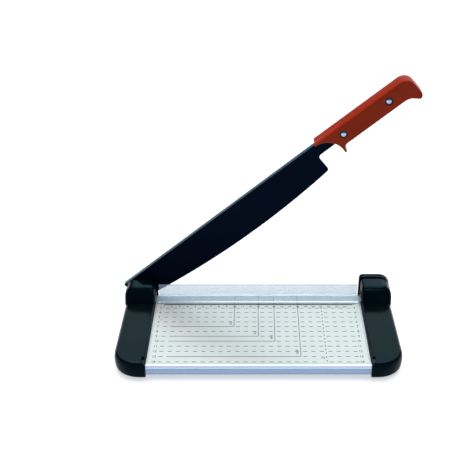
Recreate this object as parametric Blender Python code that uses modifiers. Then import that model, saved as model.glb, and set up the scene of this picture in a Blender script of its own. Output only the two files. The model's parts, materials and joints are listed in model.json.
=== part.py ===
"""Guillotine paper cutter: aluminium bed between two moulded end caps, a clear paper
clamp along the cut line, and a lever blade with a two-piece handle.

All sizes below are millimetres and are turned into metres when a mesh is made.
Positions are given from the cut line: X to the right from the middle of the bed,
Y away from the user (the bed lies at negative Y), Z up from the bed's top.
The empty cutter_frame sits at that point, so that the model's origin is on the
table under the middle of the cutter's bounding box.
"""

import math

import bmesh
import bpy
from mathutils import Matrix, Vector

MM = 0.001
GAP = 0.3                      # air left between pieces that touch

# Whole cutter
FLOOR_Z = -18.7                # the table, below the bed's top
CUT_LINE_AT = (-7.2, 69.0, -FLOOR_Z)

# Bed extrusion, scale foil and fixed blade
BED_END_X = 131.0
BED_FRONT_Y = -148.4
BED_REAR_Y = -2.5
BED_DEPTH = 12.5
BED_WALL = 2.3
FOIL_FRONT_Y = -142.9
FOIL_THICKNESS = 0.3
PORT_YS = (-38.0, -112.0)      # screw ports that run the length of the bed
PORT_Z = -6.5
PORT_RADIUS = 1.9
FIXED_BLADE_THICKNESS = 2.1
FIXED_BLADE_DEPTH = 10.5
FIXED_BLADE_SCREW_XS = (-110.0, 0.0, 110.0)

# End caps
CAP_INNER_X = 131.3
CAP_OUTER_FRONT_X = 170.6
CAP_OUTER_REAR_X = 168.6
CAP_FRONT_Y = -151.0
CAP_REAR_Y = 12.8
CAP_TOP_Z = 4.2
CAP_BOTTOM_Z = -15.2
CAP_CORNER = 31.0
CAP_REAR_CORNER = 3.5
CAP_WALL = 2.6
CAP_HOLLOW_Y = -27.0           # the deep hollow lies in front of the boss
CAP_HOLLOW_TOP_Z = 1.6
BOSS_HOLLOW_TOP_Z = -2.0
PLATE_THICKNESS = 1.8
PLATE_SEAT_Z = CAP_BOTTOM_Z + PLATE_THICKNESS + GAP
POST_X = 151.0
POST_YS = (-131.0, -20.0)
POST_RADIUS = 3.4

# Bosses across the rear of both caps, with the slot that the blade swings in
BOSS_INNER_X = 132.2
HUMP_INNER_X = 130.7
BOSS_OUTER_X = 170.2
BOSS_TOP_Z = 25.2
BOSS_SHOULDER = 14.0
BOSS_CORNER = 4.6              # radius of the top corner on the bed's side
CREST_Z = 26.3                 # the right boss rises a little behind the closed spine
HUMP_CORNER = 5.0
BOSS_FRONT_Y = -16.5
BOSS_LEAN = 0.38               # how far the front face slopes out per unit of drop
HINGE_REAR_TOP_Z = 13.5        # low enough for the open blade's spine to pass
SLOT_FRONT_Y, SLOT_REAR_Y = -0.4, 4.6
SLOT_FLOOR_Z = -11.8
SLOT_END_X = 147.0             # the heel drops in up to here
SLOT_NECK_Z = 11.5             # floor under the blade's neck
HINGE_SLOT_FRONT_Y, HINGE_SLOT_REAR_Y = -1.3, 4.9
HINGE_SLOT_FLOOR_Z = -9.0
HINGE_SLOT_END_X = 165.0
HINGE_SLOT_SIDE_Z = -2.4       # the tail swings out through the side above this
HINGE_WALL_Y = -3.8
NUT_POCKET_X = (143.2, 158.0)
NUT_POCKET_TOP_Z = 14.5

# Lever blade, drawn closed with its pivot at (0, 0)
PIVOT_AT = (-150.0, 0.0, 5.0)
OPEN_ANGLE = math.radians(39.47)
BLADE_FRONT_Y = 0.3
BLADE_THICKNESS = 2.0
SPINE_Z = 22.6
SPINE_WIDTH = 7.7
BLADE_TAIL_X = -11.0
SPINE_END_X = 301.0
HEEL_X = 292.9
NECK_Z = 7.9
NECK_END_X = 318.0
EDGE_LOW_X = 165.0
EDGE_LOW_Z = -21.7
EDGE_RADIUS = 1105.0
GRIND_START_X = 24.0
GRIND_HEIGHT = 3.6
GRIND_DEPTH = 1.7
TANG_END_X = 423.0
TANG_BOTTOM_Z = 8.8
TANG_TOP_Z = 22.0

# Pivot
BUSH_RADIUS = 4.5
BOLT_RADIUS = 3.0
BOLT_HEAD_RADIUS = 5.0
BOLT_SEAT_Y = 8.3

# Handle, in the blade's closed position
HANDLE_FRONT_Y = -9.8
HANDLE_REAR_Y = 12.4
HANDLE_SPLIT_Y = 1.3
HANDLE_EDGE = 2.2
FINGER_ARC_AT = (300.0, 0.0)
FINGER_ARC_RADIUS = 23.5
SCREW_AT = ((335.6, 15.3), (400.1, 15.1))
SCREW_HOLE = 2.3
COUNTERBORE_RADIUS = 5.0
COUNTERBORE_DEPTH = 3.0

# Clear paper clamp
CLAMP_END_X = 128.0
CLAMP_FRONT_Y = -20.4
CLAMP_UPRIGHT_Y = -3.0
CLAMP_BOTTOM_Z = 1.0
CLAMP_TOP_Z = 17.7
CLAMP_THICKNESS = 1.7
TAB_END_X = 139.6
TAB_FRONT_Y, TAB_REAR_Y = -17.6, -6.4
POCKET_ROOF_Z = 14.6
GUIDE_X, GUIDE_Y = 136.2, -12.0
BLOCK_HEIGHT = 4.0
SPRING_TURNS = 5
SPRING_RADIUS = 2.9
SPRING_WIRE = 0.35

# Feet
FOOT_RADIUS = 7.0
FOOT_HEIGHT = 3.2

COLOURS = {                    # base colour, roughness, metallic
    "aluminium": ((0.55, 0.60, 0.68), 0.32, 1.0),
    "foil": ((0.72, 0.80, 0.80), 0.45, 0.0),
    "steel": ((0.55, 0.56, 0.58), 0.28, 1.0),
    "cap": ((0.018, 0.024, 0.025), 0.38, 0.0),
    "plate": ((0.02, 0.02, 0.022), 0.6, 0.0),
    "rubber": ((0.015, 0.015, 0.015), 0.85, 0.0),
    "blade": ((0.012, 0.018, 0.026), 0.35, 0.3),
    "handle": ((0.23, 0.03, 0.015), 0.4, 0.0),
    "chrome": ((0.75, 0.77, 0.80), 0.12, 1.0),
    "clear": ((0.75, 0.85, 0.95), 0.08, 0.0),
    "nylon": ((0.7, 0.68, 0.6), 0.5, 0.0),
}


# ---------------------------------------------------------------- scene and helpers

def clear_scene():
    for obj in list(bpy.data.objects):
        bpy.data.objects.remove(obj, do_unlink=True)


def new_collection(name):
    collection = bpy.data.collections.new(name)
    bpy.context.scene.collection.children.link(collection)
    return collection


clear_scene()
PARTS = new_collection("guillotine_paper_cutter")
CUTTERS = new_collection("cutters")


def material(name, key):
    """A Principled BSDF of its own for one sub-part."""
    colour, roughness, metallic = COLOURS[key]
    mat = bpy.data.materials.new(name)
    mat.use_nodes = True
    shader = mat.node_tree.nodes["Principled BSDF"]
    shader.inputs["Base Color"].default_value = (*colour, 1.0)
    shader.inputs["Roughness"].default_value = roughness
    shader.inputs["Metallic"].default_value = metallic
    if key == "clear":
        shader.inputs["Alpha"].default_value = 0.35
    return mat


def empty(name, at, parent=None):
    frame = bpy.data.objects.new(name, None)
    frame.location = Vector(at) * MM
    frame.parent = parent
    PARTS.objects.link(frame)
    return frame


def as_object(name, mesh, parent, at=(0.0, 0.0, 0.0)):
    """A mesh object in the cutters' collection, until finish() makes it a sub-part."""
    obj = bpy.data.objects.new(name, mesh)
    obj.location = Vector(at) * MM
    obj.parent = parent
    obj.hide_render = True
    obj.display_type = "WIRE"
    CUTTERS.objects.link(obj)
    return obj


def finish(obj, key, smooth_angle=35.0):
    """Turn a shape into a visible sub-part with its own material."""
    CUTTERS.objects.unlink(obj)
    PARTS.objects.link(obj)
    obj.hide_render = False
    obj.display_type = "TEXTURED"
    obj.data.materials.append(material(obj.name + "_material", key))
    obj.data.shade_smooth()
    obj.data.set_sharp_from_angle(angle=math.radians(smooth_angle))
    return obj


def boolean(target, other, operation="DIFFERENCE"):
    modifier = target.modifiers.new(other.name, "BOOLEAN")
    modifier.operation = operation
    modifier.object = other


def bevel(obj, width, segments=2, angle=35.0):
    modifier = obj.modifiers.new("edges", "BEVEL")
    modifier.width = width * MM
    modifier.segments = segments
    modifier.limit_method = "ANGLE"
    modifier.angle_limit = math.radians(angle)
    return obj


# ---------------------------------------------------------------- shapes

def face_outwards(shape):
    bmesh.ops.recalc_face_normals(shape, faces=shape.faces)
    if shape.calc_volume(signed=True) < 0.0:
        bmesh.ops.reverse_faces(shape, faces=shape.faces)


def box(name, low, high, parent):
    """A block between two corners."""
    low, high = Vector(low) * MM, Vector(high) * MM
    shape = bmesh.new()
    bmesh.ops.create_cube(shape, size=1.0)
    size = high - low
    place = Matrix.Translation((low + high) / 2) @ Matrix.Diagonal((*size, 1.0))
    bmesh.ops.transform(shape, matrix=place, verts=shape.verts)
    mesh = bpy.data.meshes.new(name)
    shape.to_mesh(mesh)
    shape.free()
    return as_object(name, mesh, parent)


def towards(direction):
    """Rotation that turns +Z to an axis such as "X" or "-Y"."""
    axis = Vector([1.0 if letter == direction[-1] else 0.0 for letter in "XYZ"])
    if direction[0] == "-":
        axis.negate()
    return Vector((0.0, 0.0, 1.0)).rotation_difference(axis)


def cylinder(name, radius, start, length, axis, parent, sides=32):
    """A round bar that starts at a point and runs along +axis; 6 sides make a hexagon."""
    shape = bmesh.new()
    bmesh.ops.create_cone(
        shape, cap_ends=True, segments=sides,
        radius1=radius * MM, radius2=radius * MM, depth=length * MM,
    )
    turn = towards(axis).to_matrix().to_4x4()
    middle = Vector(start) * MM + turn @ Vector((0, 0, length * MM / 2))
    bmesh.ops.transform(shape, matrix=Matrix.Translation(middle) @ turn, verts=shape.verts)
    mesh = bpy.data.meshes.new(name)
    shape.to_mesh(mesh)
    shape.free()
    return as_object(name, mesh, parent)


def turned(name, profile, at, axis, parent, sides=24, closed=True):
    """A (radius, height) profile, down its outer side, spun about an axis at a point."""
    mesh = bpy.data.meshes.new(name)
    points = [Vector((radius * MM, 0.0, height * MM)) for radius, height in profile]
    edges = [(i, i + 1) for i in range(len(points) - 1)]
    if closed:
        edges.append((len(points) - 1, 0))
    mesh.from_pydata(points, edges, [])
    obj = as_object(name, mesh, parent, at)
    obj.rotation_euler = towards(axis).to_euler()
    screw = obj.modifiers.new("turn", "SCREW")
    screw.steps = sides
    screw.render_steps = sides
    screw.use_merge_vertices = True
    screw.merge_threshold = 0.00001
    screw.use_smooth_shade = True
    return obj


def ring_profile(inner, outer, low, high):
    """Rectangle section of a washer or bush, down its outer side."""
    return [(outer, high), (outer, low), (inner, low), (inner, high)]


def fillet(corners, steps=5):
    """Closed outline through (a, b, radius) corners, each rounded by an arc."""
    outline = []
    count = len(corners)
    for i, (a, b, radius) in enumerate(corners):
        here = Vector((a, b))
        if radius <= 0.0:
            outline.append(here)
            continue
        before = (Vector(corners[i - 1][:2]) - here).normalized()
        after = (Vector(corners[(i + 1) % count][:2]) - here).normalized()
        half = before.angle(after) / 2
        centre = here + (before + after).normalized() * radius / math.sin(half)
        start = here + before * radius / math.tan(half) - centre
        end = here + after * radius / math.tan(half) - centre
        sweep = math.pi - 2 * half
        turn = 1.0 if start.x * end.y - start.y * end.x > 0 else -1.0
        for k in range(steps + 1):
            angle = turn * sweep * k / steps
            cos, sin = math.cos(angle), math.sin(angle)
            rotated = Vector((start.x * cos - start.y * sin, start.x * sin + start.y * cos))
            outline.append(centre + rotated)
    return outline


def circle(a, b, radius, sides=20):
    return [
        Vector((a + radius * math.cos(2 * math.pi * k / sides),
                b + radius * math.sin(2 * math.pi * k / sides)))
        for k in range(sides)
    ]


# Maps an outline's own (a, b) and its thickness to X, Y, Z
PLANES = {
    "X": Matrix(((0, 0, 1, 0), (1, 0, 0, 0), (0, 1, 0, 0), (0, 0, 0, 1))),
    "Y": Matrix(((1, 0, 0, 0), (0, 0, -1, 0), (0, 1, 0, 0), (0, 0, 0, 1))),
    "Z": Matrix.Identity(4),
}


def prism(name, outlines, low, high, axis, parent):
    """Flat outline, with later outlines as holes, filled and extruded along an axis."""
    curve = bpy.data.curves.new(name + "_outline", "CURVE")
    curve.dimensions = "2D"
    curve.fill_mode = "BOTH"
    curve.extrude = (high - low) / 2 * MM
    for outline in outlines:
        spline = curve.splines.new("POLY")
        spline.points.add(len(outline) - 1)
        for point, place in zip(spline.points, outline):
            point.co = (place[0] * MM, place[1] * MM, 0.0, 1.0)
        spline.use_cyclic_u = True
    holder = bpy.data.objects.new(name + "_outline", curve)
    CUTTERS.objects.link(holder)
    bpy.context.view_layer.update()
    graph = bpy.context.evaluated_depsgraph_get()
    mesh = bpy.data.meshes.new_from_object(holder.evaluated_get(graph))
    bpy.data.objects.remove(holder, do_unlink=True)
    middle = (low + high) / 2 * MM
    shift = Vector([middle if letter == axis else 0.0 for letter in "XYZ"])
    shape = bmesh.new()
    shape.from_mesh(mesh)
    bmesh.ops.remove_doubles(shape, verts=shape.verts, dist=0.000001)
    bmesh.ops.transform(
        shape, matrix=Matrix.Translation(shift) @ PLANES[axis], verts=shape.verts
    )
    face_outwards(shape)
    shape.to_mesh(mesh)
    shape.free()
    mesh.name = name
    return as_object(name, mesh, parent)


def loft(name, rings, parent):
    """Skin over closed rings of equal count, with flat ends."""
    shape = bmesh.new()
    loops = [[shape.verts.new(Vector(p) * MM) for p in ring] for ring in rings]
    for first, second in zip(loops, loops[1:]):
        for i in range(len(first)):
            j = (i + 1) % len(first)
            shape.faces.new((first[i], first[j], second[j], second[i]))
    shape.faces.new(loops[0])
    shape.faces.new(loops[-1])
    face_outwards(shape)
    mesh = bpy.data.meshes.new(name)
    shape.to_mesh(mesh)
    shape.free()
    return as_object(name, mesh, parent)


def inset_outline(outline, amount, weights):
    """Outline moved inwards; a weight under 1 moves a point less, where it is thin."""
    count = len(outline)
    area = sum(
        outline[i - 1].x * outline[i].y - outline[i].x * outline[i - 1].y
        for i in range(count)
    )
    side = 1.0 if area > 0 else -1.0
    moved = []
    for i, point in enumerate(outline):
        along = (outline[(i + 1) % count] - outline[i - 1]).normalized()
        inward = Vector((-along.y, along.x)) * side
        moved.append(point + inward * amount * weights[i])
    return moved


def pan_screw(name, at, head_side, parent, head, shank, length, rise=2.0, key="chrome"):
    """Domed screw whose head's underside is at a point, its head towards head_side."""
    dome = [(head * math.cos(t), rise * (0.4 + 0.6 * math.sin(t))) for t in (1.1, 0.65, 0.2)]
    profile = [(0.0, rise)] + dome + [(head, 0.0), (shank, 0.0)]
    profile += [(shank, 1.0 - length), (shank * 0.5, -length), (0.0, -length)]
    return finish(turned(name, profile, at, head_side, parent, 16, closed=False), key)


def washer(name, at, axis, parent, inner, outer, thickness, key="steel"):
    profile = ring_profile(inner, outer, 0.0, thickness)
    return finish(turned(name, profile, at, axis, parent), key)


def hex_nut(name, at, axis, parent, radius, hole, thickness):
    nut = cylinder(name, radius, at, thickness, axis, parent, sides=6)
    below = Vector(at) - towards(axis) @ Vector((0.0, 0.0, 1.0))
    boolean(nut, cylinder(name + "_bore", hole, below, thickness + 2.0, axis, parent, 20))
    return finish(nut, "steel")


# ---------------------------------------------------------------- bed

def bed_outline():
    """Section of the extrusion, seen along X as (y, z)."""
    top = -2 * FOIL_THICKNESS
    under = top - BED_WALL
    front, rear = BED_FRONT_Y, BED_REAR_Y
    corners = [
        (rear, top, 0), (FOIL_FRONT_Y - GAP, top, 0), (FOIL_FRONT_Y - GAP, 0.0, 0.3),
        (front + 1.6, 0.0, 0.8), (front, -4.4, 0.3), (front + 0.8, -4.7, 0),
        (front + 0.8, -5.2, 0), (front + 0.2, -5.5, 0.2), (front + 0.4, -BED_DEPTH, 0.8),
        (front + 0.4 + BED_WALL, -BED_DEPTH, 0.8), (front + 0.4 + BED_WALL, under, 1.0),
    ]
    for port in reversed(PORT_YS):
        half = PORT_RADIUS + BED_WALL
        corners += [(port - half, under, 0.6), (port - half, -BED_DEPTH + 1.0, 1.0)]
        corners += [(port + half, -BED_DEPTH + 1.0, 1.0), (port + half, under, 0.6)]
        if port == PORT_YS[1]:
            middle = sum(PORT_YS) / 2
            corners += [(middle - 1.1, under, 0), (middle - 1.1, -BED_DEPTH + 1.0, 0)]
            corners += [(middle + 1.1, -BED_DEPTH + 1.0, 0), (middle + 1.1, under, 0)]
    corners += [
        (rear - BED_WALL, under, 0.6), (rear - BED_WALL, -BED_DEPTH, 0.5),
        (rear, -BED_DEPTH, 0.5),
    ]
    return fillet(corners, steps=2)


def make_bed(frame):
    holes = [circle(y, PORT_Z, PORT_RADIUS, 12) for y in PORT_YS]
    bed = prism("bed", [bed_outline()] + holes, -BED_END_X, BED_END_X, "X", frame)
    for i, x in enumerate(FIXED_BLADE_SCREW_XS):
        name = f"bed_rear_hole_{i + 1}"
        boolean(bed, cylinder(name, 1.5, (x, -8.0, -6.0), 8.0, "Y", frame, 12))
    finish(bed, "aluminium")
    foil_low = (-BED_END_X + 0.4, FOIL_FRONT_Y, -FOIL_THICKNESS)
    finish(box("scale_foil", foil_low, (BED_END_X - 0.4, BED_REAR_Y, 0.0), frame), "foil")


def make_fixed_blade(frame):
    rear = BED_REAR_Y + GAP + FIXED_BLADE_THICKNESS
    low = (-BED_END_X + 0.4, BED_REAR_Y + GAP, -FIXED_BLADE_DEPTH)
    blade = box("fixed_blade", low, (BED_END_X - 0.4, rear, 0.0), frame)
    for i, x in enumerate(FIXED_BLADE_SCREW_XS):
        seat = [(3.3, 0.5), (3.3, 0.0), (1.6, -1.7), (1.6, -5.0), (0.0, -5.0), (0.0, 0.5)]
        hole = turned(f"fixed_blade_hole_{i + 1}", seat, (x, rear, -6.0), "Y", frame, 16)
        boolean(blade, hole)
        head = [(0.0, -0.3), (2.6, -0.3), (1.1, -1.8), (1.1, -7.0), (0.0, -7.0)]
        at = (x, rear, -6.0)
        name = f"fixed_blade_screw_{i + 1}"
        finish(turned(name, head, at, "Y", frame, 16, closed=False), "steel")
    finish(blade, "steel")


# ---------------------------------------------------------------- end caps

def across(side, low, high):
    """Corners of a box on the left (-1) or right (1) side, given for the right side."""
    xs = sorted((side * low[0], side * high[0]))
    return (xs[0], *low[1:]), (xs[1], *high[1:])


def cap_outline(side, inner_x, inset):
    """Plan outline of a cap; inset moves all but its inner edge inwards."""
    corners = [
        (inner_x, CAP_REAR_Y - inset, 0.6), (inner_x, CAP_FRONT_Y + inset, 0.6),
        (CAP_OUTER_FRONT_X - inset, CAP_FRONT_Y + inset, CAP_CORNER - inset),
        (CAP_OUTER_REAR_X - inset, CAP_REAR_Y - inset, max(CAP_REAR_CORNER - inset, 1.0)),
    ]
    return [Vector((side * p.x, p.y)) for p in fillet(corners, steps=8)]


def cap_body(name, side, frame):
    """Tray with a slightly bellied skirt and a chamfer that faces the bed."""
    levels = [                 # height, how far in the skirt is, inner edge
        (CAP_BOTTOM_Z, 1.6, CAP_INNER_X), (CAP_BOTTOM_Z + 1.2, 0.8, CAP_INNER_X),
        (-10.0, 0.1, CAP_INNER_X), (-5.0, 0.0, CAP_INNER_X), (-1.0, 0.3, CAP_INNER_X),
        (0.4, 0.6, CAP_INNER_X), (2.3, 1.3, 132.4), (CAP_TOP_Z, 3.3, 133.6),
    ]
    rings = [
        [Vector((*p, z)) for p in cap_outline(side, inner_x, inset)]
        for z, inset, inner_x in levels
    ]
    return loft(name, rings, frame)


def boss(name, side, rear_top_z, crest_z, frame):
    """Block across a cap, rounded over at the back and chamfered above a leaning front."""
    top = BOSS_TOP_Z
    front = BOSS_FRONT_Y
    hump = (HUMP_INNER_X, HUMP_CORNER, rear_top_z)
    crest = (HUMP_INNER_X, HUMP_CORNER, crest_z)
    block = (BOSS_INNER_X, BOSS_CORNER, top)
    levels = [                 # y, inset, lean, (inner edge, its corner's radius, top)
        (CAP_REAR_Y - 0.3, 3.8, 0.0, crest),
        (CAP_REAR_Y - 0.8, 2.2, 0.0, crest),
        (CAP_REAR_Y - 1.8, 0.8, 0.0, crest),
        (CAP_REAR_Y - 3.2, 0.0, 0.0, crest),
        (CAP_REAR_Y - 4.4, 0.0, 0.0, hump),
        (SLOT_REAR_Y - 0.5, 0.0, 0.0, hump),
        (SLOT_FRONT_Y + 0.5, 0.0, 0.0, block),
        (front + 1.2, 0.0, 0.15, block),
        (front, 0.3, 0.3, block),
        (front - 1.7, 2.0, BOSS_LEAN, block),
        (front - 2.3, 2.8, BOSS_LEAN, block),
        (front - 2.7, 3.8, BOSS_LEAN, block),
        (front - 2.9, 5.0, BOSS_LEAN, block),
    ]
    rings = []
    for y, inset, lean, (inner, corner, level_top) in levels:
        outer = BOSS_OUTER_X - inset
        corners = [
            (inner - 0.5 + inset * 0.3, -8.0, 0),
            (inner + inset * 0.5, level_top - inset, corner - inset * 0.6),
            (outer - 0.5, level_top - inset, min(BOSS_SHOULDER, level_top - 5.0) - inset),
            (outer - 0.2, 2.0, 2.0), (outer - 4.5, -13.0, 0), (inner + 6.0, -13.0, 0),
        ]
        rings.append([
            Vector((side * p.x, y - lean * (level_top - p.y), p.y))
            for p in fillet(corners, steps=7)
        ])
    return loft(name, rings, frame)


def hollow_cap(cap, name, side, frame):
    """Hollows from below, plate seat, screw posts and the wall's two screw holes."""
    outer = CAP_OUTER_FRONT_X - CAP_WALL - 1.4
    front = CAP_FRONT_Y + CAP_WALL + 1.2
    inner = CAP_INNER_X + CAP_WALL
    corners = [
        (inner, CAP_HOLLOW_Y, 1.0), (inner, front, 1.0),
        (outer, front, CAP_CORNER - CAP_WALL - 1.0), (outer - 1.8, CAP_HOLLOW_Y, 1.0),
    ]
    outline = [Vector((side * p.x, p.y)) for p in fillet(corners, steps=6)]
    low = CAP_BOTTOM_Z - 1.0
    boolean(cap, prism(name + "_hollow", [outline], low, CAP_HOLLOW_TOP_Z, "Z", frame))
    seat = cap_outline(side, CAP_INNER_X + CAP_WALL, 1.6 + CAP_WALL - 0.6)
    boolean(cap, prism(name + "_plate_seat", [seat], low, PLATE_SEAT_Z, "Z", frame))
    boss_hollow = across(
        side, (inner + 1.0, -24.5, low), (outer - 4.5, HINGE_WALL_Y - 0.7, BOSS_HOLLOW_TOP_Z)
    )
    boolean(cap, box(name + "_boss_hollow", *boss_hollow, frame))
    for label, y in zip(("front", "rear"), POST_YS):
        top = CAP_HOLLOW_TOP_Z + 1.0 if label == "front" else BOSS_HOLLOW_TOP_Z + 1.0
        at = (side * POST_X, y, PLATE_SEAT_Z)
        height = top - PLATE_SEAT_Z
        post = cylinder(f"{name}_{label}_post", POST_RADIUS, at, height, "Z", frame, 20)
        boolean(cap, post, "UNION")
        drill = cylinder(f"{name}_{label}_drill", 1.8, (at[0], y, low), 12.5, "Z", frame, 16)
        boolean(cap, drill)
    for i, y in enumerate(PORT_YS):
        at = (side * CAP_INNER_X - 2.0 if side > 0 else -CAP_INNER_X - 6.0, y, PORT_Z)
        boolean(cap, cylinder(f"{name}_wall_hole_{i}", 1.9, at, 8.0, "X", frame, 16))


def clamp_pocket(cap, name, side, frame):
    """Opening beside the bed that the paper clamp's end and its spring work in."""
    low = (129.0, TAB_FRONT_Y - 0.6, CLAMP_BOTTOM_Z - GAP)
    high = (TAB_END_X + 1.4, TAB_REAR_Y + 0.6, POCKET_ROOF_Z)
    boolean(cap, box(name + "_clamp_pocket", *across(side, low, high), frame))
    at = (side * GUIDE_X, GUIDE_Y, CLAMP_BOTTOM_Z - 2.4)
    boolean(cap, cylinder(name + "_guide_hole", 1.5, at, 19.4, "Z", frame, 16))


def stepped_slot(side, floor_z, end_x, step_z):
    """Side view of a slot: deep beside the bed, shallower out through the cap's side."""
    corners = [
        (128.0, floor_z), (end_x, floor_z), (end_x, step_z), (180.0, step_z),
        (180.0, 40.0), (128.0, 40.0),
    ]
    return [Vector((side * x, z)) for x, z in corners]


def make_right_cap(frame):
    cap = cap_body("right_end_cap", 1, frame)
    boolean(cap, boss("landing_boss", 1, BOSS_TOP_Z, CREST_Z, frame), "UNION")
    slot = stepped_slot(1, SLOT_FLOOR_Z, SLOT_END_X, SLOT_NECK_Z)
    boolean(cap, prism("heel_slot", [slot], SLOT_FRONT_Y, SLOT_REAR_Y, "Y", frame))
    hollow_cap(cap, "right_cap", 1, frame)
    clamp_pocket(cap, "right_cap", 1, frame)
    notch = ((131.9, -147.4, 1.9), (136.2, -135.6, 8.0))
    boolean(cap, box("corner_notch", *notch, frame))
    finish(cap, "cap")


def make_left_cap(frame):
    cap = cap_body("left_end_cap", -1, frame)
    boolean(cap, boss("hinge_boss", -1, HINGE_REAR_TOP_Z, HINGE_REAR_TOP_Z, frame), "UNION")
    front, rear = HINGE_SLOT_FRONT_Y, HINGE_SLOT_REAR_Y
    slot = stepped_slot(-1, HINGE_SLOT_FLOOR_Z, HINGE_SLOT_END_X, HINGE_SLOT_SIDE_Z)
    boolean(cap, prism("hinge_slot", [slot], front, rear, "Y", frame))
    hollow_cap(cap, "left_cap", -1, frame)
    clamp_pocket(cap, "left_cap", -1, frame)
    pocket = (
        (-NUT_POCKET_X[1], -16.3, BOSS_HOLLOW_TOP_Z - 1.0),
        (-NUT_POCKET_X[0], HINGE_WALL_Y, NUT_POCKET_TOP_Z),
    )
    boolean(cap, box("nut_pocket", *pocket, frame))
    x, _, z = PIVOT_AT
    hole = BOLT_RADIUS + GAP
    boolean(cap, cylinder("pivot_hole", hole, (x, -8.0, z), 24.0, "Y", frame, 24))
    seat = BOLT_HEAD_RADIUS + 0.8
    boolean(cap, cylinder("head_recess", seat, (x, BOLT_SEAT_Y, z), 8.0, "Y", frame, 28))
    notch = ((-136.2, -147.4, 1.9), (-131.9, -135.6, 8.0))
    boolean(cap, box("left_corner_notch", *notch, frame))
    finish(cap, "cap")


def make_underside(label, side, frame):
    """Bottom plate, two rubber feet and their screws, and the screws into the bed."""
    outline = cap_outline(side, CAP_INNER_X + CAP_WALL + GAP, 1.6 + CAP_WALL - 0.6 + GAP)
    holes = [circle(side * POST_X, y, 2.0, 12) for y in POST_YS]
    high = CAP_BOTTOM_Z + PLATE_THICKNESS
    plate = prism(
        label + "_bottom_plate", [outline] + holes, CAP_BOTTOM_Z, high, "Z", frame
    )
    finish(plate, "plate")
    for end, y in zip(("front", "rear"), POST_YS):
        top = CAP_BOTTOM_Z - GAP
        rim, base = FOOT_RADIUS, -FOOT_HEIGHT
        profile = [(rim, 0.0), (rim - 0.5, base), (4.2, base), (4.2, -1.1), (2.0, -1.1)]
        at = (side * POST_X, y, top)
        foot = turned(f"{label}_{end}_foot", profile + [(2.0, 0.0)], at, "Z", frame)
        finish(foot, "rubber")
        seat = (side * POST_X, y, top - 1.1 - GAP)
        name = f"{label}_{end}_foot_screw"
        pan_screw(name, seat, "-Z", frame, 3.2, 1.4, 11.5, rise=1.3, key="steel")
    for end, y in zip(("rear", "front"), PORT_YS):
        at = (side * (CAP_INNER_X + CAP_WALL + GAP), y, PORT_Z)
        head_side = "X" if side > 0 else "-X"
        name = f"{label}_{end}_cap_screw"
        pan_screw(name, at, head_side, frame, 3.2, 1.4, 17.0, key="steel")


# ---------------------------------------------------------------- pivot

def make_pivot(frame):
    x, _, z = PIVOT_AT
    hole, rim = BOLT_RADIUS + GAP, 6.6
    length = BOLT_SEAT_Y + GAP + 11.8
    seat = (x, BOLT_SEAT_Y + GAP, z)
    pan_screw("pivot_bolt", seat, "Y", frame, BOLT_HEAD_RADIUS, BOLT_RADIUS, length,
              rise=3.4, key="steel")
    stack = [                  # name, y of its front face, thickness, outer radius
        ("pivot_nut_washer", HINGE_WALL_Y - GAP - 1.1, 1.1, rim),
        ("pivot_front_washer", -1.0, 1.0, rim),
        ("pivot_spring_washer", 2.6, 0.8, rim - 0.8),
        ("pivot_rear_washer", 3.7, 0.9, rim),
    ]
    for name, y, thickness, outer in stack:
        washer(name, (x, y, z), "Y", frame, hole, outer, thickness)
    nut_y = HINGE_WALL_Y - 2 * GAP - 1.1 - 4.9
    hex_nut("pivot_nut", (x, nut_y, z), "Y", frame, 5.77, hole, 4.9)


# ---------------------------------------------------------------- paper clamp

def make_clamp(slide):
    """Clear L-shaped clamp with a tab at each end, and a sprung block on each tab."""
    rear = CLAMP_UPRIGHT_Y + CLAMP_THICKNESS
    under, over = CLAMP_BOTTOM_Z, CLAMP_BOTTOM_Z + CLAMP_THICKNESS
    section = fillet([
        (rear, under, 1.6), (rear, CLAMP_TOP_Z, 0.5), (CLAMP_UPRIGHT_Y, CLAMP_TOP_Z, 0.5),
        (CLAMP_UPRIGHT_Y, over, 1.0), (CLAMP_FRONT_Y, over, 0.8),
        (CLAMP_FRONT_Y, under, 0.8),
    ], steps=3)
    clamp = prism("paper_clamp", [section], -CLAMP_END_X, CLAMP_END_X, "X", slide)
    for side, label in ((-1, "left"), (1, "right")):
        tab = across(
            side, (CLAMP_END_X - 4.0, TAB_FRONT_Y, under + 0.1),
            (TAB_END_X, TAB_REAR_Y, over - 0.1),
        )
        boolean(clamp, box(label + "_tab", *tab, slide), "UNION")
        at = (side * GUIDE_X, GUIDE_Y, under - 2.0)
        boolean(clamp, cylinder(label + "_tab_hole", 1.7, at, 8.0, "Z", slide, 16))
        low = (CAP_INNER_X + 0.7, TAB_FRONT_Y, over + GAP)
        high = (TAB_END_X + 0.4, TAB_REAR_Y, over + GAP + BLOCK_HEIGHT)
        block = bevel(box(label + "_clamp_block", *across(side, low, high), slide), 0.5)
        boolean(block, cylinder(label + "_block_hole", 1.7, at, 12.0, "Z", slide, 16))
        finish(block, "plate")
    finish(clamp, "clear")


def coil_points(low, high):
    """Points along a coil spring whose end turns lie flat."""
    count = SPRING_TURNS * 10
    points = []
    for i in range(count + 1):
        turn = i / 10
        rise = min(max((turn - 0.7) / (SPRING_TURNS - 1.4), 0.0), 1.0)
        angle = 2 * math.pi * turn
        height = low + (high - low) * rise + 0.12 * (min(turn, 0.7) + turn - SPRING_TURNS)
        points.append((
            SPRING_RADIUS * math.cos(angle), SPRING_RADIUS * math.sin(angle), height
        ))
    return points


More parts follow.
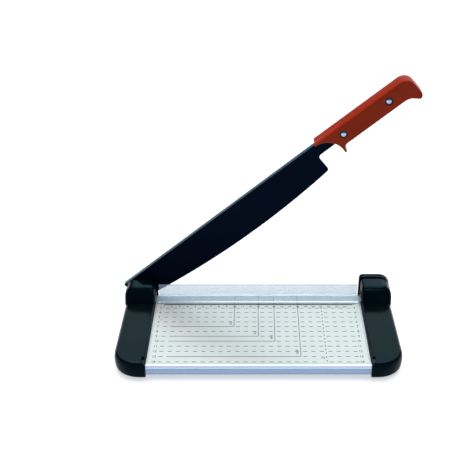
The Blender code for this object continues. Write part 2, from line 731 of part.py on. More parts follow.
def make_clamp_springs(frame):
    block_top = CLAMP_BOTTOM_Z + CLAMP_THICKNESS + GAP + BLOCK_HEIGHT
    for side, label in ((-1, "left"), (1, "right")):
        curve = bpy.data.curves.new(label + "_clamp_spring", "CURVE")
        curve.dimensions = "3D"
        curve.bevel_depth = SPRING_WIRE * MM
        curve.bevel_resolution = 1
        curve.use_fill_caps = True
        points = coil_points(block_top + GAP + 1.0, POCKET_ROOF_Z - GAP - 0.6)
        spline = curve.splines.new("POLY")
        spline.points.add(len(points) - 1)
        for point, place in zip(spline.points, points):
            point.co = (*(value * MM for value in place), 1.0)
        at = (side * GUIDE_X, GUIDE_Y, 0.0)
        spring = as_object(label + "_clamp_spring", curve, frame, at)
        CUTTERS.objects.unlink(spring)
        PARTS.objects.link(spring)
        spring.hide_render = False
        spring.display_type = "TEXTURED"
        curve.materials.append(material(spring.name + "_material", "steel"))
        pin_low = CLAMP_BOTTOM_Z - 2.1
        pin_at = (side * GUIDE_X, GUIDE_Y, pin_low)
        pin = cylinder(label + "_guide_pin", 1.2, pin_at, 18.6, "Z", frame, 16)
        finish(pin, "steel")


# ---------------------------------------------------------------- blade and handle

def edge_z(x):
    """Height of the curved cutting edge along the closed blade."""
    return EDGE_LOW_Z + (x - EDGE_LOW_X) ** 2 / (2 * EDGE_RADIUS)


def blade_outline():
    corners = [(BLADE_TAIL_X, SPINE_Z, 0), (BLADE_TAIL_X + 0.4, edge_z(0.0) - 0.6, 8.0)]
    edge_xs = [6.0 + 13.0 * k for k in range(22)]
    corners += [(x, edge_z(x), 0) for x in edge_xs]
    corners += [
        (HEEL_X, edge_z(HEEL_X) + 0.2, 3.0), (HEEL_X, NECK_Z, 4.5), (NECK_END_X, NECK_Z, 0),
        (TANG_END_X, TANG_BOTTOM_Z, 4.0), (TANG_END_X, TANG_TOP_Z, 4.0),
        (SPINE_END_X, TANG_TOP_Z, 0), (SPINE_END_X - 1.0, SPINE_Z, 0),
    ]
    return fillet(corners, steps=5)


def make_blade(pivot):
    rear = BLADE_FRONT_Y + BLADE_THICKNESS
    blade = prism("blade", [blade_outline()], BLADE_FRONT_Y, rear, "Y", pivot)
    flange_section = fillet([
        (BLADE_FRONT_Y + 0.2, SPINE_Z - BLADE_THICKNESS - 1.0, 0),
        (BLADE_FRONT_Y + 0.002, SPINE_Z + 0.05, 0.9),
        (BLADE_FRONT_Y + SPINE_WIDTH, SPINE_Z + 0.05, 0.4),
        (BLADE_FRONT_Y + SPINE_WIDTH, SPINE_Z - BLADE_THICKNESS, 0.4),
        (rear + 0.8, SPINE_Z - BLADE_THICKNESS, 0), (rear, SPINE_Z - BLADE_THICKNESS - 1.0, 0),
    ], steps=3)
    flange = prism(
        "spine_flange", [flange_section], BLADE_TAIL_X - 0.05, SPINE_END_X, "X", pivot
    )
    boolean(blade, flange, "UNION")
    slope = GRIND_HEIGHT / GRIND_DEPTH
    rings = []
    for k in range(24):
        x = GRIND_START_X + (HEEL_X + 4.0 - GRIND_START_X) * k / 23
        low = edge_z(x) - 2.0
        behind = rear + 0.4
        rings.append([
            Vector((x, behind, edge_z(x) + GRIND_HEIGHT + 0.4 * slope)),
            Vector((x, behind, low)),
            Vector((x, rear - GRIND_DEPTH - 2.0 / slope, low)),
        ])
    boolean(blade, loft("edge_grind", rings, pivot))
    boolean(blade, cylinder("bush_hole", BUSH_RADIUS + GAP, (0, -2, 0), 8.0, "Y", pivot, 28))
    for i, (x, z) in enumerate(SCREW_AT):
        name = f"tang_hole_{i + 1}"
        boolean(blade, cylinder(name, SCREW_HOLE, (x, -2, z), 8.0, "Y", pivot, 16))
    finish(blade, "blade", smooth_angle=30.0)
    washer("pivot_bush", (0, BLADE_FRONT_Y, 0), "Y", pivot, BOLT_RADIUS + GAP, BUSH_RADIUS,
           BLADE_THICKNESS, "nylon")


def handle_outline():
    """Side view of the grip: finger guard arc at the left, flared end at the right."""
    centre_x, centre_z = FINGER_ARC_AT
    arc = []
    for k in range(12):
        angle = math.radians(82.0 - 8.3 * k)
        arc.append((
            centre_x + FINGER_ARC_RADIUS * math.cos(angle),
            centre_z + FINGER_ARC_RADIUS * math.sin(angle), 0,
        ))
    return fillet(
        [(299.4, 26.0, 1.1), (300.8, 23.4, 1.1)] + arc + [
            (323.1, -5.2, 1.1), (326.0, -5.3, 1.1), (326.5, 3.0, 6.0), (420.0, 3.0, 14.0),
            (431.0, -7.2, 3.0), (435.2, -2.0, 3.0), (434.3, 25.5, 13.0),
        ],
        steps=5,
    )


def edge_weight(point):
    """How much of the full edge rounding a point takes: less where the grip is thin."""
    if point.x < 318.0 and point.y > 12.0:
        return 0.45 + 0.55 * max(point.x - 306.0, 0.0) / 12.0
    if point.x < 331.0 and point.y < 12.0:
        return 0.45 + 0.55 * max(point.y - 2.0, 0.0) / 10.0
    return 1.0


def scale(name, inner_y, outer_y, pivot):
    """Half of the grip, rounded on its outer edge."""
    outline = handle_outline()
    weights = [edge_weight(point) for point in outline]
    out = 1.0 if outer_y > inner_y else -1.0
    steps = 4
    levels = [(inner_y, 0.25), (inner_y + out * 0.3, 0.0)]
    for k in range(steps + 1):
        angle = math.pi / 2 * k / steps
        depth = HANDLE_EDGE * (1 - math.sin(angle))
        levels.append((outer_y - out * depth, HANDLE_EDGE * (1 - math.cos(angle))))
    rings = [
        [Vector((p.x, y, p.y)) for p in inset_outline(outline, inset, weights)]
        for y, inset in levels
    ]
    return loft(name, rings, pivot)


def make_handle(pivot):
    front = scale("handle_front_scale", HANDLE_SPLIT_Y - GAP / 2, HANDLE_FRONT_Y, pivot)
    rear = scale("handle_rear_scale", HANDLE_SPLIT_Y + GAP / 2, HANDLE_REAR_Y, pivot)
    tang_low = (HEEL_X - 2.0, BLADE_FRONT_Y - GAP, NECK_Z - GAP)
    tang_high = (TANG_END_X + GAP, BLADE_FRONT_Y + BLADE_THICKNESS + GAP, TANG_TOP_Z + GAP)
    tang_room = box("tang_room", tang_low, tang_high, pivot)
    for half in (front, rear):
        boolean(half, tang_room)
    for i, (x, z) in enumerate(SCREW_AT):
        hole = cylinder(f"screw_hole_{i + 1}", SCREW_HOLE, (x, -20, z), 40.0, "Y", pivot, 16)
        boolean(front, hole)
        boolean(rear, hole)
        seat_y = HANDLE_FRONT_Y + COUNTERBORE_DEPTH
        start = (x, seat_y - 10.0, z)
        name = f"front_counterbore_{i + 1}"
        boolean(front, cylinder(name, COUNTERBORE_RADIUS, start, 10.0, "Y", pivot, 28))
        start = (x, HANDLE_REAR_Y - COUNTERBORE_DEPTH, z)
        name = f"rear_counterbore_{i + 1}"
        boolean(rear, cylinder(name, COUNTERBORE_RADIUS, start, 10.0, "Y", pivot, 28))
        cup = (x, seat_y - GAP - 0.8, z)
        washer(f"handle_washer_{i + 1}", cup, "Y", pivot, SCREW_HOLE, 4.7, 0.8, "plate")
        head = (x, cup[1] - GAP, z)
        pan_screw(f"handle_screw_{i + 1}", head, "-Y", pivot, 3.3, 1.9, 19.8)
        nut = (x, start[1] + GAP, z)
        hex_nut(f"handle_nut_{i + 1}", nut, "Y", pivot, 3.9, 2.2, 2.4)
    finish(front, "handle")
    finish(rear, "handle")


# ---------------------------------------------------------------- assembly

def main():
    frame = empty("cutter_frame", CUT_LINE_AT)
    slide = empty("clamp_slide", (0.0, 0.0, 0.0), frame)
    pivot = empty("blade_pivot", PIVOT_AT, frame)
    pivot.rotation_euler = (0.0, -OPEN_ANGLE, 0.0)
    make_bed(frame)
    make_fixed_blade(frame)
    make_left_cap(frame)
    make_right_cap(frame)
    make_underside("left", -1, frame)
    make_underside("right", 1, frame)
    make_pivot(frame)
    make_clamp(slide)
    make_clamp_springs(frame)
    make_blade(pivot)
    make_handle(pivot)
    bpy.context.view_layer.update()


main()
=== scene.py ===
"""Looks of the guillotine paper cutter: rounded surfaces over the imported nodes, the
printed centimetre scale, procedural materials, a pale studio floor, soft light, camera."""

import json
import math

import bmesh
import bpy
from mathutils import Matrix, Vector


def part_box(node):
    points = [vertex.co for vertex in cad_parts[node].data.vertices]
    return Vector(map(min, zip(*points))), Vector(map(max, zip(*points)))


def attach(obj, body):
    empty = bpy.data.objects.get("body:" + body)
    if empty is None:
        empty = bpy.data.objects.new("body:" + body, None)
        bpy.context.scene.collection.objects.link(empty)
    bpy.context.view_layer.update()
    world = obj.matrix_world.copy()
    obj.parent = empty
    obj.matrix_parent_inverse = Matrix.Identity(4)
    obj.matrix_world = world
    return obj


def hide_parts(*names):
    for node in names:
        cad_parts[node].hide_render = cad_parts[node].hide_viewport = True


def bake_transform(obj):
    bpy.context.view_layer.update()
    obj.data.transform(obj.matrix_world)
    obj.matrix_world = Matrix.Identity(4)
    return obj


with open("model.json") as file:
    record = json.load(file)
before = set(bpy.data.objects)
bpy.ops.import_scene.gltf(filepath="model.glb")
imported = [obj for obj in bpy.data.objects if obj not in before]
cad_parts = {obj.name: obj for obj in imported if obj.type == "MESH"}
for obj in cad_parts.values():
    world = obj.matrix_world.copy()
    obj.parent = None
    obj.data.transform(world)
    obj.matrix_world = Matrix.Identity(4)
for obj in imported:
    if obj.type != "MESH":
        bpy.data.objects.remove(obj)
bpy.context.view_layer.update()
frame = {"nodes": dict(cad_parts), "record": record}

MM = 0.001
OPEN_ANGLE = math.radians(39.47)       # the lever's angle above the bed at rest

foil_low, foil_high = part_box("scale_foil")
bush_low, bush_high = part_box("pivot_bush")
# Middle of the cut line, on the bed's top; the fixed blade's rear face is 0.1 mm in front
CUT_LINE = Vector((
    (foil_low.x + foil_high.x) / 2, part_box("fixed_blade")[1].y + 0.1 * MM, foil_high.z
))
PIVOT = (bush_low + bush_high) / 2


# ---------------------------------------------------------------- material nodes

def new_tree(name):
    material = bpy.data.materials.new(name)
    material.use_nodes = True
    tree = material.node_tree
    return material, tree, tree.nodes["Principled BSDF"]


def noise(tree, coordinates, scale, detail=4.0, stretch=(1.0, 1.0, 1.0), roughness=0.55):
    """Noise with a feature size of about 1/scale metres, stretched along the axes."""
    mapping = tree.nodes.new("ShaderNodeMapping")
    mapping.inputs["Scale"].default_value = stretch
    tree.links.new(coordinates, mapping.inputs["Vector"])
    texture = tree.nodes.new("ShaderNodeTexNoise")
    texture.inputs["Scale"].default_value = scale
    texture.inputs["Detail"].default_value = detail
    texture.inputs["Roughness"].default_value = roughness
    tree.links.new(mapping.outputs["Vector"], texture.inputs["Vector"])
    return texture.outputs["Fac"]


def ramp(tree, factor, low, high, start=0.3, end=0.7):
    """Colour that runs from low to high as the factor goes from start to end."""
    node = tree.nodes.new("ShaderNodeValToRGB")
    node.color_ramp.elements[0].position = start
    node.color_ramp.elements[1].position = end
    node.color_ramp.elements[0].color = (*low, 1.0)
    node.color_ramp.elements[1].color = (*high, 1.0)
    tree.links.new(factor, node.inputs["Fac"])
    return node.outputs["Color"]


def spread(tree, factor, low, high):
    """The factor's usual range 0.3 to 0.7 turned into low to high."""
    node = tree.nodes.new("ShaderNodeMapRange")
    node.inputs["From Min"].default_value = 0.3
    node.inputs["From Max"].default_value = 0.7
    node.inputs["To Min"].default_value = low
    node.inputs["To Max"].default_value = high
    tree.links.new(factor, node.inputs["Value"])
    return node.outputs["Result"]


def bump(tree, height, depth, strength=1.0, before=None):
    node = tree.nodes.new("ShaderNodeBump")
    node.inputs["Distance"].default_value = depth
    node.inputs["Strength"].default_value = strength
    tree.links.new(height, node.inputs["Height"])
    if before is not None:
        tree.links.new(before, node.inputs["Normal"])
    return node.outputs["Normal"]


WAVES_PER_METRE = 28.0


def surface(
    name, low, high, patch, roughness, grain, grain_depth, metallic=0.0, specular=0.5,
    stretch=(1.0, 1.0, 1.0), wave=0.0, alpha=1.0, tint=(1.0, 1.0, 1.0),
):
    """Two-tone surface: patches of colour and roughness, and a fine grain in relief.

    patch and grain are features per metre; wave is the depth of the slow unevenness
    that moulded and pressed faces have.
    """
    material, tree, shader = new_tree(name)
    coordinates = tree.nodes.new("ShaderNodeTexCoord").outputs["Object"]
    patches = noise(tree, coordinates, patch, 3.0, stretch)
    fine = noise(tree, coordinates, grain, 2.0, stretch)
    tree.links.new(ramp(tree, patches, low, high), shader.inputs["Base Color"])
    smears = noise(tree, coordinates, patch * 2.3, 5.0, stretch, 0.65)
    tree.links.new(spread(tree, smears, *roughness), shader.inputs["Roughness"])
    normal = bump(tree, fine, grain_depth)
    if wave > 0.0:
        slow = noise(tree, coordinates, WAVES_PER_METRE, 1.0)
        normal = bump(tree, slow, wave, before=normal)
    tree.links.new(normal, shader.inputs["Normal"])
    shader.inputs["Metallic"].default_value = metallic
    shader.inputs["Specular IOR Level"].default_value = specular
    shader.inputs["Specular Tint"].default_value = (*tint, 1.0)
    shader.inputs["Alpha"].default_value = alpha
    return material


ALONG_BED = (0.02, 1.0, 1.0)
MATERIALS = {
    "aluminium": surface(
        "anodised_aluminium", (0.22, 0.31, 0.44), (0.26, 0.35, 0.49), 120.0, (0.24, 0.36),
        1400.0, 0.000012, metallic=0.9, stretch=ALONG_BED,
    ),
    # Pale aluminium on the front lip: a painted reflection of the pale floor in front
    "lip": surface(
        "lip_aluminium_painted_reflection", (0.61, 0.70, 0.81), (0.66, 0.75, 0.86), 120.0, (0.24, 0.36),
        1400.0, 0.000008, metallic=0.35, stretch=ALONG_BED,
    ),
    "foil": surface(
        "scale_foil_satin", (0.56, 0.575, 0.53), (0.585, 0.595, 0.55), 60.0, (0.27, 0.31),
        2500.0, 0.0000015, metallic=0.12, specular=0.5,
    ),
    "ink": surface(
        "scale_ink", (0.03, 0.045, 0.05), (0.06, 0.08, 0.085), 900.0, (0.4, 0.55),
        3000.0, 0.000004, specular=0.2,
    ),
    "steel": surface(
        "ground_steel", (0.46, 0.47, 0.49), (0.60, 0.61, 0.63), 150.0, (0.22, 0.4),
        1800.0, 0.000012, metallic=1.0, stretch=(0.06, 1.0, 1.0),
    ),
    "chrome": surface(
        "plated_screw", (0.25, 0.36, 0.50), (0.36, 0.47, 0.62), 300.0, (0.08, 0.16),
        2500.0, 0.000004, metallic=1.0,
    ),
    "cap": surface(
        "cap_plastic", (0.0004, 0.0024, 0.0034), (0.0009, 0.0038, 0.0050), 70.0,
        (0.13, 0.20), 1900.0, 0.000006, specular=0.11, wave=0.00004,
        tint=(0.30, 0.80, 1.0),
    ),
    # Darker, weaker-reflecting copy of the cap plastic for upright faces: partly a duller
    # finish, partly painted shade
    "cap_wall": surface(
        "cap_wall_painted_shade", (0.0002, 0.0014, 0.0034), (0.0006, 0.0026, 0.0052), 70.0,
        (0.30, 0.38), 1900.0, 0.000008, specular=0.045, wave=0.00004,
        tint=(0.30, 0.80, 1.0),
    ),
    "plate": surface(
        "black_moulding", (0.008, 0.008, 0.009), (0.013, 0.013, 0.014), 90.0,
        (0.45, 0.6), 1500.0, 0.00003, specular=0.3,
    ),
    "rubber": surface(
        "foot_rubber", (0.008, 0.008, 0.008), (0.015, 0.014, 0.013), 200.0, (0.75, 0.9),
        2600.0, 0.00004, specular=0.2,
    ),
    "blade": surface(
        "blade_coating", (0.0003, 0.0012, 0.0050), (0.0008, 0.0030, 0.0095), 14.0,
        (0.26, 0.36), 1500.0, 0.000008, specular=0.04, wave=0.00006,
        stretch=(0.35, 1.0, 1.0), tint=(0.25, 0.55, 1.0),
    ),
    # Paler teal on the spine's top faces: a painted highlight standing in for the lit fold
    "spine": surface(
        "spine_painted_highlight", (0.035, 0.075, 0.090), (0.060, 0.115, 0.130), 90.0, (0.30, 0.42),
        1500.0, 0.000012, specular=0.5, metallic=0.3, stretch=(0.1, 1.0, 1.0),
    ),
    "edge": surface(
        "ground_edge", (0.42, 0.47, 0.52), (0.62, 0.67, 0.72), 220.0, (0.18, 0.3),
        2200.0, 0.00001, metallic=1.0,
    ),
    "handle": surface(
        "handle_plastic", (0.165, 0.0165, 0.0050), (0.190, 0.0195, 0.0065), 26.0,
        (0.16, 0.24), 1300.0, 0.00001, specular=0.07, wave=0.00012,
        tint=(1.0, 0.30, 0.30),
    ),
    # Brighter red on the grip's edge faces: painted light for the light falling on its top
    "handle_rim": surface(
        "handle_rim_painted_light", (0.32, 0.018, 0.002), (0.37, 0.023, 0.003), 26.0,
        (0.18, 0.26), 1300.0, 0.00001, specular=0.03, wave=0.00012,
        tint=(1.0, 0.30, 0.22),
    ),
    "clear": surface(
        "clear_plastic", (0.47, 0.59, 0.68), (0.53, 0.65, 0.74), 20.0, (0.16, 0.22),
        900.0, 0.0000003, specular=0.5, alpha=0.34,
    ),
    # Near-white, mirror-like edges on the clear strip: a painted highlight
    "clear_edge": surface(
        "clear_edge_painted_highlight", (0.86, 0.92, 0.98), (0.93, 0.97, 1.0), 40.0, (0.30, 0.38),
        900.0, 0.000001, metallic=0.8, specular=1.0, alpha=0.95,
    ),
    # Darker, less transparent clear plastic on the strip's top edge: painted shade
    "clear_top": surface(
        "clear_top_painted_shade", (0.26, 0.33, 0.40), (0.32, 0.39, 0.46), 40.0, (0.12, 0.2),
        900.0, 0.000002, specular=0.3, alpha=0.6,
    ),
    "nylon": surface(
        "nylon_bush", (0.50, 0.48, 0.40), (0.58, 0.55, 0.47), 150.0, (0.4, 0.5),
        1500.0, 0.00001,
    ),
}


# ---------------------------------------------------------------- surfaces over the nodes

WELD_DISTANCE = 0.002 * MM
FLAT_ANGLE = math.radians(0.6)


def show(obj, body, nodes, key):
    """A finished piece: its material, the nodes it stands for and the body it rides."""
    obj.data.materials.clear()
    obj.data.materials.append(MATERIALS[key])
    if body:
        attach(obj, body)
    if nodes:
        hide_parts(*nodes)
    return obj


def link(name, mesh):
    obj = bpy.data.objects.new(name, mesh)
    bpy.context.scene.collection.objects.link(obj)
    return obj


def refined(node, body, key, rounding=0.2, smooth=25.0):
    """The node's surface with its facets joined, its flats clean and its edges rounded."""
    shape = bmesh.new()
    shape.from_mesh(frame["nodes"][node].data)
    bmesh.ops.remove_doubles(shape, verts=shape.verts, dist=WELD_DISTANCE)
    bmesh.ops.dissolve_limit(
        shape, angle_limit=FLAT_ANGLE, verts=shape.verts, edges=shape.edges, delimit=set()
    )
    mesh = bpy.data.meshes.new(node + "_surface")
    shape.to_mesh(mesh)
    shape.free()
    mesh.shade_smooth()
    mesh.set_sharp_from_angle(angle=math.radians(smooth))
    obj = link(node + "_surface", mesh)
    if rounding > 0.0:
        edges = obj.modifiers.new("rounding", "BEVEL")
        edges.width = rounding * MM
        edges.segments = 3
        edges.limit_method = "ANGLE"
        edges.angle_limit = math.radians(smooth)
        edges.use_clamp_overlap = True
        edges.harden_normals = True
    return show(obj, body, [node], key)


LOOKS = {                      # node: (material, slot, edge rounding in mm)
    "bed": ("aluminium", "aluminium", 0.15),
    "scale_foil": ("foil", "scale_print", 0.0),
    "fixed_blade": ("steel", "steel", 0.1),
    "left_end_cap": ("cap", "cap_plastic", 0.35),
    "right_end_cap": ("cap", "cap_plastic", 0.35),
    "left_bottom_plate": ("plate", "base_plate", 0.2),
    "right_bottom_plate": ("plate", "base_plate", 0.2),
    "pivot_bolt": ("steel", "steel", 0.1),
    "pivot_nut": ("steel", "steel", 0.25),
    "pivot_nut_washer": ("steel", "steel", 0.12),
    "pivot_front_washer": ("steel", "steel", 0.12),
    "pivot_spring_washer": ("steel", "steel", 0.12),
    "pivot_rear_washer": ("steel", "steel", 0.12),
    "left_guide_pin": ("steel", "steel", 0.15),
    "right_guide_pin": ("steel", "steel", 0.15),
    "left_clamp_spring": ("steel", "steel", 0.0),
    "right_clamp_spring": ("steel", "steel", 0.0),
    "paper_clamp": ("clear", "clear_plastic", 0.2),
    "left_clamp_block": ("plate", "base_plate", 0.0),
    "right_clamp_block": ("plate", "base_plate", 0.0),
    "blade": ("blade", "blade_black", 0.12),
    "pivot_bush": ("nylon", "nylon", 0.1),
    "handle_front_scale": ("handle", "handle_red", 0.3),
    "handle_rear_scale": ("handle", "handle_red", 0.3),
}
for i in (1, 2, 3):
    LOOKS[f"fixed_blade_screw_{i}"] = ("steel", "steel", 0.1)
for i in (1, 2):
    LOOKS[f"handle_screw_{i}"] = ("chrome", "chrome", 0.1)
    LOOKS[f"handle_washer_{i}"] = ("plate", "base_plate", 0.1)
    LOOKS[f"handle_nut_{i}"] = ("steel", "steel", 0.2)
for place in ("left_front", "left_rear", "right_front", "right_rear"):
    LOOKS[place + "_foot"] = ("rubber", "rubber", 0.3)
    LOOKS[place + "_foot_screw"] = ("steel", "steel", 0.1)
    LOOKS[place + "_cap_screw"] = ("steel", "steel", 0.1)

# The springs sit between two bodies, so they ride neither; further down their placement is
# baked into their meshes
CLAMP_SPRINGS = ("left_clamp_spring", "right_clamp_spring")
body_of_node = {
    node: body
    for body, members in frame["record"]["behaviour"]["bodies"].items()
    for node in members
    if node not in CLAMP_SPRINGS
}
pieces = {
    node: refined(node, body_of_node.get(node), key, rounding)
    for node, (key, slot, rounding) in LOOKS.items()
}


# ---------------------------------------------------------------- second materials

def second_look(node, key, chosen):
    """Another material on the faces of one piece that the test picks out."""
    mesh = pieces[node].data
    mesh.materials.append(MATERIALS[key])
    index = len(mesh.materials) - 1
    for face in mesh.polygons:
        if chosen(face.normal, face.center):
            face.material_index = index


BLADE_DOWN = Vector((math.sin(OPEN_ANGLE), 0.0, -math.cos(OPEN_ANGLE)))
BED_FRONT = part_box("bed")[0].y
CLAMP_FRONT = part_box("paper_clamp")[0].y
CLAMP_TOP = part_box("paper_clamp")[1].z
SPINE_ABOVE_PIVOT = 21.0 * MM
LIP_DEPTH, LIP_HEIGHT = 6.0 * MM, 4.5 * MM
CLAMP_FOOT_TOP = CUT_LINE.z + 5.0 * MM     # above the clear strip's flat part
CLAMP_EDGE_DEPTH, CLAMP_EDGE_HEIGHT = 0.9 * MM, 0.6 * MM


def on_grind(normal, centre):
    """The slope ground along the rear of the cutting edge is bare steel."""
    return normal.y > 0.2 and 0.1 < normal.dot(BLADE_DOWN) < 0.97


def on_spine(normal, centre):
    """The top of the spine is painted paler: a painted highlight for the light from above on
    its fold.
    """
    above_pivot = -(centre - PIVOT).dot(BLADE_DOWN)
    return normal.dot(BLADE_DOWN) < -0.3 and above_pivot > SPINE_ABOVE_PIVOT


def on_lip(normal, centre):
    """The bed's front lip, above its groove, is painted bright: a painted reflection of the
    pale floor it faces.
    """
    return centre.y < BED_FRONT + LIP_DEPTH and centre.z > CUT_LINE.z - LIP_HEIGHT


def on_clamp_edge(normal, centre):
    """The clear strip's front edge and inner corner are painted near white: a painted
    highlight for the light that gathers there.
    """
    on_front = centre.y < CLAMP_FRONT + CLAMP_EDGE_DEPTH
    in_corner = normal.y < -0.2 and normal.z > 0.2
    return (on_front or in_corner) and centre.z < CLAMP_FOOT_TOP


def on_clamp_top(normal, centre):
    """The clear strip's top edge is painted darker than its sides: painted shade for the
    dark line seen along it.
    """
    return centre.z > CLAMP_TOP - CLAMP_EDGE_HEIGHT


def on_cap_wall(normal, centre):
    """The caps' upright faces are duller than their tops and painted darker: painted shade
    for the dim room in front that they reflect.
    """
    return abs(normal.z) < 0.5


def on_rim(normal, centre):
    """The grip's edge faces are painted brighter than its sides: painted light standing in
    for the light from above on its top.
    """
    return abs(normal.y) < 0.6


second_look("blade", "edge", on_grind)
# painted highlight on the spine's top
second_look("blade", "spine", on_spine)
# painted reflection on the bed's front lip
second_look("bed", "lip", on_lip)
# painted highlight on the clear strip's edges
second_look("paper_clamp", "clear_edge", on_clamp_edge)
# painted shade on the clear strip's top edge
second_look("paper_clamp", "clear_top", on_clamp_top)
# painted shade on the caps' upright faces
second_look("left_end_cap", "cap_wall", on_cap_wall)
second_look("right_end_cap", "cap_wall", on_cap_wall)
# painted light on the grip's edge faces
second_look("handle_front_scale", "handle_rim", on_rim)
second_look("handle_rear_scale", "handle_rim", on_rim)


# ---------------------------------------------------------------- clamp springs

for spring in CLAMP_SPRINGS:
    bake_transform(pieces[spring])


# ---------------------------------------------------------------- printed scale
# Places and sizes in this section are in millimetres, from the middle of the cut line

INK_FOOT, INK_TOP = -0.01, 0.03        # the print's foot lies in the foil
BED_LEFT = -130.0                      # the scale counts centimetres from here
ROWS, COLUMNS = 14, 24                 # centimetres down and across the bed
FORMATS = ((10, 7), (13, 9), (15, 10), (18, 13))       # common photo formats, in centimetres
DOTTED_COLUMN = 21


def ink_block(shape, x, y, width, depth):
    """A printed stroke: a thin flat block centred on (x, y), its foot in the foil."""
    low = Vector((x - width / 2, y - depth / 2, INK_FOOT))
    high = Vector((x + width / 2, y + depth / 2, INK_TOP))
    middle = (low + high) / 2 * MM
    place = Matrix.Translation(middle) @ Matrix.Diagonal((*((high - low) * MM), 1.0))
    bmesh.ops.create_cube(shape, size=1.0, matrix=place)


def format_lines(shape):
    """Two lines that meet at the corner of each photo format."""
    top, left = -2.6, -108.3
    for across_cm, down_cm in FORMATS:
        x, y = BED_LEFT + 10 * across_cm, -10 * down_cm
        ink_block(shape, x, (top + y) / 2, 0.7, top - y)
        ink_block(shape, (left + x) / 2, y, x - left, 0.9)


def dashes(shape):
    """A dash in each centimetre from row 3 on, except on a format line or a label."""
    for row in range(3, ROWS + 1):
        for column in range(1, COLUMNS + 1):
            on_line = any(row == down and 1 < column < across for across, down in FORMATS)
            by_label = row > 12 and column == DOTTED_COLUMN - 1
            if not on_line and not by_label:
                ink_block(shape, BED_LEFT + 10 * column + 5, -10 * row, 4.9, 1.0)


def dotted_line(shape):
    first, step, dots = -30.0, 7.2, 16
    for k in range(dots):
        ink_block(shape, BED_LEFT + 10 * DOTTED_COLUMN, first - step * k, 1.2, 2.7)


def millimetre_ticks(shape):
    """A baseline with ticks under it, and ticks along both sides of the bed."""
    half_line, side_edge = 120.0, 130.2
    ink_block(shape, 0.0, -21.6, 2 * half_line + 1, 1.9)
    for k in range(10 * COLUMNS + 1):
        length = 1.4 if k % 5 else 2.2
        ink_block(shape, k - half_line, -22.4 - length / 2, 0.4, length)
    for k in range(1, 10 * ROWS + 1):
        length = 1.2 if k % 5 else 2.2
        for side in (-1, 1):
            ink_block(shape, side * (side_edge - length / 2), -k, length, 0.25)


def add_text(shape, words, x, y, height, turned=False, align="CENTER"):
    """Digits laid flat on the bed, centred on (x, y) or set flush from there."""
    curve = bpy.data.curves.new("digits", "FONT")
    curve.body = words
    curve.size = height * MM * 1.35
    curve.offset = 0.09 * MM
    curve.extrude = (INK_TOP - INK_FOOT) / 2 * MM
    curve.align_x = align
    curve.align_y = "CENTER"
    curve.resolution_u = 2
    holder = link("digits", curve)
    bpy.context.view_layer.update()
    graph = bpy.context.evaluated_depsgraph_get()
    mesh = bpy.data.meshes.new_from_object(holder.evaluated_get(graph))
    turn = Matrix.Rotation(math.pi / 2 if turned else 0.0, 4, "Z")
    at = Vector((x, y, (INK_TOP + INK_FOOT) / 2)) * MM
    mesh.transform(Matrix.Translation(at) @ turn @ Matrix.Diagonal((0.8, 1.0, 1.0, 1.0)))
    shape.from_mesh(mesh)
    bpy.data.objects.remove(holder)
    bpy.data.meshes.remove(mesh)


def numbers(shape):
    """Centimetre numbers down both sides and along the baseline, and the format labels."""
    for row in range(1, ROWS + 1):
        add_text(shape, str(row), -124.9, -10.0 * row, 4.4, align="LEFT")
        add_text(shape, str(row), 123.4, -10.0 * row, 4.4, align="RIGHT")
    for column in range(1, COLUMNS + 1):
        add_text(shape, str(column), BED_LEFT + 10 * column, -27.2, 4.2)
    labels = (
        ("7x10", -34.0, -62.5, 3.2), ("9x13", -4.0, -82.5, 3.2), ("10x15", 16.0, -91.5, 3.2),
        ("13x18", 46.0, -121.5, 3.2), (str(DOTTED_COLUMN), 75.9, -131.5, 4.4),
    )
    for words, x, y, height in labels:
        add_text(shape, words, x, y, height, turned=True)


def printed_scale():
    shape = bmesh.new()
    for draw in (format_lines, dashes, dotted_line, millimetre_ticks, numbers):
        draw(shape)
    bmesh.ops.remove_doubles(shape, verts=shape.verts, dist=1e-7)
    bmesh.ops.transform(shape, matrix=Matrix.Translation(CUT_LINE), verts=shape.verts)
    mesh = bpy.data.meshes.new("printed_scale")
    shape.to_mesh(mesh)
    shape.free()
    show(link("printed_scale", mesh), "base", [], "ink")


printed_scale()


# ---------------------------------------------------------------- floor, light, camera

FLOOR_REACH = 40.0             # metres from the middle to each side
CAMERA_FROM_CUT_LINE = Vector((-4.4, -967.2, 642.7)) * MM
CAMERA_PITCH = math.radians(29.17)     # downwards


def make_floor():
    mesh = bpy.data.meshes.new("floor")
    shape = bmesh.new()
    bmesh.ops.create_grid(shape, x_segments=8, y_segments=8, size=FLOOR_REACH)
    shape.to_mesh(mesh)
    shape.free()
    floor = link("floor", mesh)
    paper = surface(
        "studio_paper", (0.61, 0.61, 0.61), (0.63, 0.63, 0.63), 3.0, (0.7, 0.8), 400.0,
        0.00005, specular=0.2,
    )
    shader = paper.node_tree.nodes["Principled BSDF"]
    shader.inputs["Emission Color"].default_value = (1.0, 1.0, 1.0, 1.0)
    shader.inputs["Emission Strength"].default_value = 0.5
    mesh.materials.append(paper)


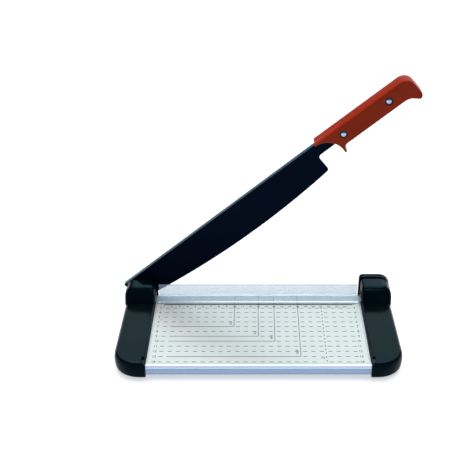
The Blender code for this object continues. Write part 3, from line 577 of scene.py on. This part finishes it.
def glow(tree, direction, aim, colour, start, end):
    """Light from around one direction; start and end are the cosines it fades between."""
    along = tree.nodes.new("ShaderNodeVectorMath")
    along.operation = "DOT_PRODUCT"
    along.inputs[1].default_value = Vector(aim).normalized()
    tree.links.new(direction, along.inputs[0])
    fade = tree.nodes.new("ShaderNodeMapRange")
    fade.interpolation_type = "SMOOTHSTEP"
    fade.inputs["From Min"].default_value = start
    fade.inputs["From Max"].default_value = end
    tree.links.new(along.outputs["Value"], fade.inputs["Value"])
    light = tree.nodes.new("ShaderNodeVectorMath")
    light.operation = "SCALE"
    light.inputs[0].default_value = colour
    tree.links.new(fade.outputs["Result"], light.inputs["Scale"])
    return light.outputs["Vector"]


def make_world():
    """Studio surround: a wide overhead window, a lit backdrop, a dim room in front."""
    world = bpy.data.worlds.new("studio")
    bpy.context.scene.world = world
    world.use_nodes = True
    tree = world.node_tree
    direction = tree.nodes.new("ShaderNodeTexCoord").outputs["Generated"]
    room = glow(tree, direction, (0.0, 0.0, 1.0), (0.08, 0.14, 0.24), -1.2, -1.0)
    window = glow(tree, direction, (0.0, 0.25, 0.97), (3.5, 3.5, 3.5), 0.80, 0.93)
    backdrop = glow(tree, direction, (0.2, 0.80, 0.58), (1.02, 1.30, 1.28), 0.72, 0.97)
    wall = glow(tree, direction, (0.0, -0.98, 0.12), (0.22, 0.26, 0.32), 0.55, 0.95)
    total = room
    for light in (window, backdrop, wall):
        both = tree.nodes.new("ShaderNodeVectorMath")
        tree.links.new(total, both.inputs[0])
        tree.links.new(light, both.inputs[1])
        total = both.outputs["Vector"]
    tree.links.new(total, tree.nodes["Background"].inputs["Color"])


def add_light(name, at, size, power, aim=(0.0, 0.0, 0.1)):
    data = bpy.data.lights.new(name, "AREA")
    data.shape = "RECTANGLE"
    data.size, data.size_y = size
    data.energy = power
    light = bpy.data.objects.new(name, data)
    light.location = at
    light.rotation_euler = (Vector(aim) - Vector(at)).to_track_quat("-Z", "Y").to_euler()
    bpy.context.scene.collection.objects.link(light)


def make_camera():
    data = bpy.data.cameras.new("camera")
    data.sensor_width = 36.0
    data.lens = 70.91
    data.shift_x = -0.0635
    data.clip_start = 0.05
    camera = bpy.data.objects.new("camera", data)
    camera.location = CUT_LINE + CAMERA_FROM_CUT_LINE
    camera.rotation_euler = (math.pi / 2 - CAMERA_PITCH, 0.0, 0.0)
    bpy.context.scene.collection.objects.link(camera)
    bpy.context.scene.camera = camera


make_floor()
make_world()
add_light("softbox_camera", (0.15, -1.25, 1.05), (0.3, 0.55), 5.0)
make_camera()
bpy.context.scene.view_settings.view_transform = "Standard"
